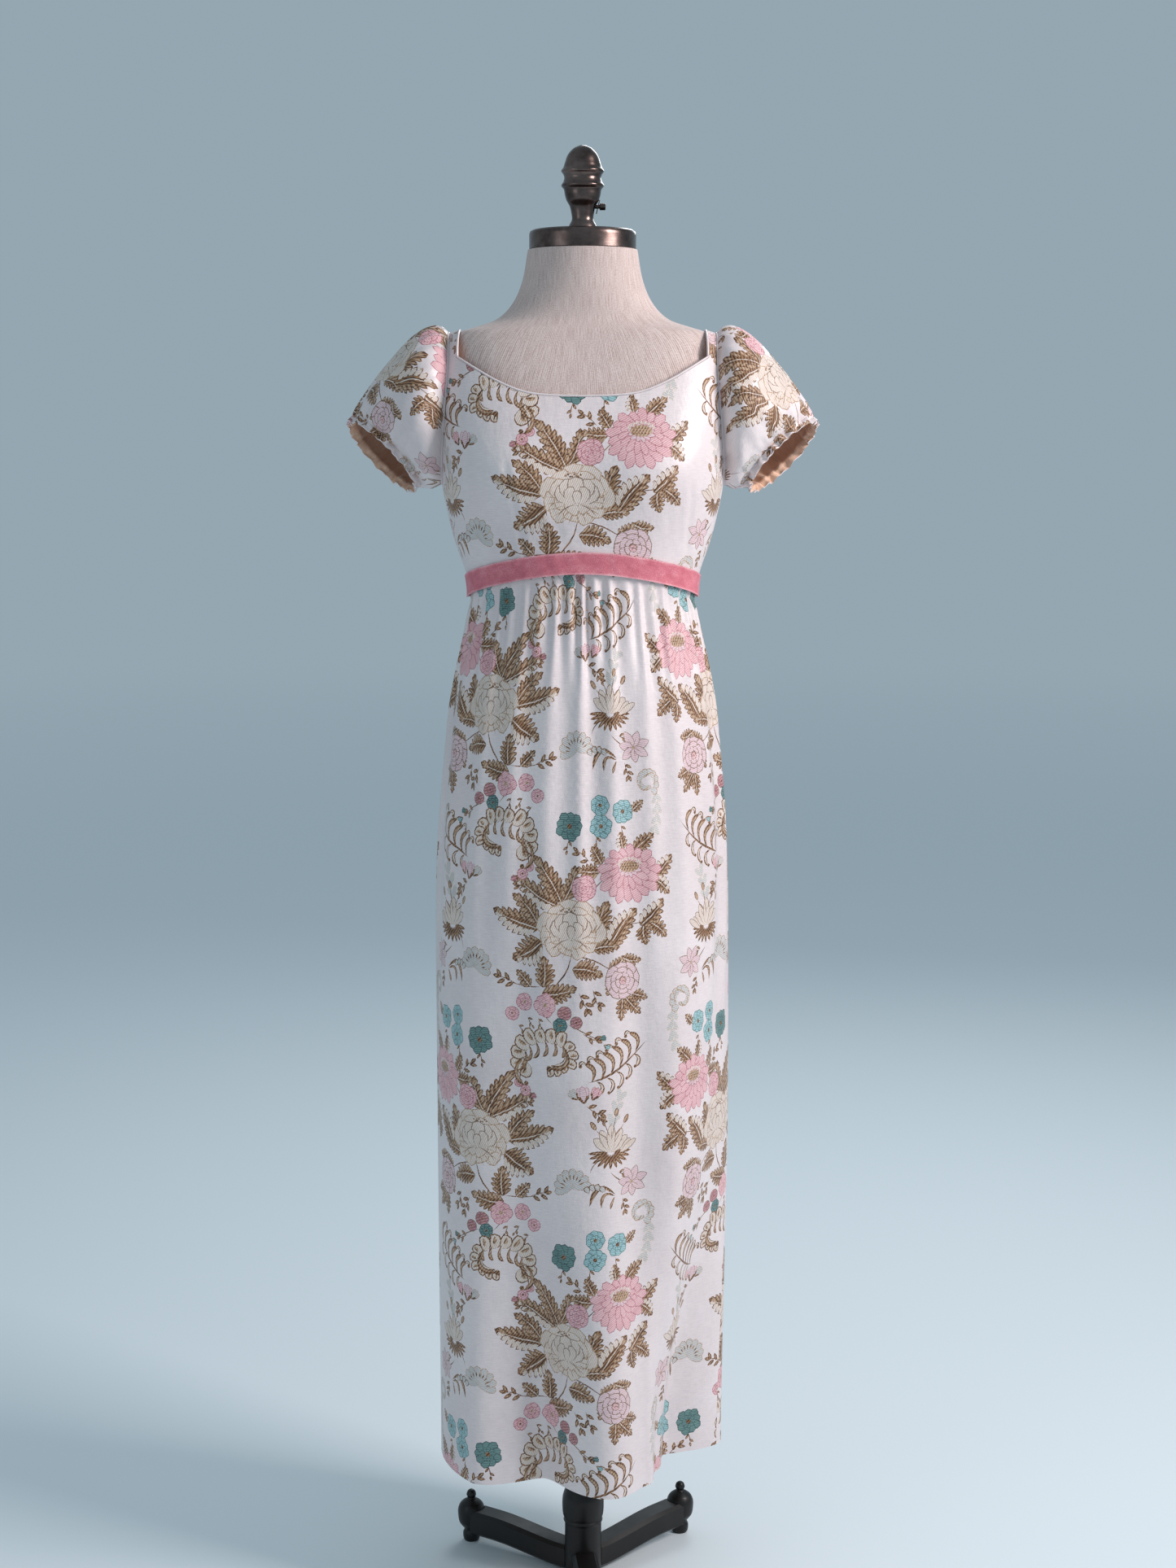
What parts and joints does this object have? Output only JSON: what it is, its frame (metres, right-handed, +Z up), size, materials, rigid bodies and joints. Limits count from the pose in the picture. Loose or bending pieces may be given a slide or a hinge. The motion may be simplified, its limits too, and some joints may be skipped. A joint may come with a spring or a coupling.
{
  "type": "regency gown on a limbless dress form with its stand",
  "caption": "Floor-length high-waisted gown of floral brocade with short puffed sleeves and a velvet ribbon, worn on a linen dress form with a turned tripod stand.",
  "frame": {"origin": "on the floor, on the axis of the pole, which is the middle of the part seen from above", "axes": "+Z up along the pole, -Y toward the front of the gown, +X toward the wearer's left"},
  "size_m": [0.5378, 0.3492, 1.683],
  "materials": {
    "brocade": "ivory satin brocade with pink, cream, teal and brown flowers and leaves",
    "binding": "narrow ivory edge, folded and stitched",
    "velvet": "rose pink velvet ribbon",
    "linen": "slubbed natural linen cover",
    "dark_metal": "dark bronze, polished",
    "rod_metal": "satin",
    "dark_wood": "near-black stain, satin"
  },
  "bodies": {
    "stand": {"stand_column": "dark_wood", "pole_tube": "dark_wood", "leg_front": "dark_wood", "leg_left": "dark_wood", "leg_right": "dark_wood", "foot_front": "dark_wood", "foot_left": "dark_wood", "foot_right": "dark_wood"},
    "carriage": {"form_rod": "rod_metal"},
    "form": {"form_torso": "linen", "neck_cap": "dark_metal", "finial": "dark_metal", "lock_plate": "dark_metal", "bodice_front": "brocade", "bodice_back_left": "brocade", "bodice_back_right": "brocade", "neckline_binding": "binding", "waist_band": "velvet", "skirt_front": "brocade", "skirt_back": "brocade", "sleeve_left": "brocade", "sleeve_right": "brocade"},
    "lock": {"lock_screw": "dark_metal"}
  },
  "joints": [
    {"name": "height_slide", "type": "slide", "parent": "stand", "child": "carriage", "axis": [0, 0, 1], "range_m": [0, 0.18]},
    {"name": "form_swivel", "type": "hinge", "parent": "carriage", "child": "form", "pos_m": [0, 0, 1.5], "axis": [0, 0, 1], "continuous": true},
    {"name": "lock_screw_turn", "type": "hinge", "parent": "form", "child": "lock", "pos_m": [0.02, 0, 1.616], "axis": [1, 0, 0], "continuous": true}
  ]
}
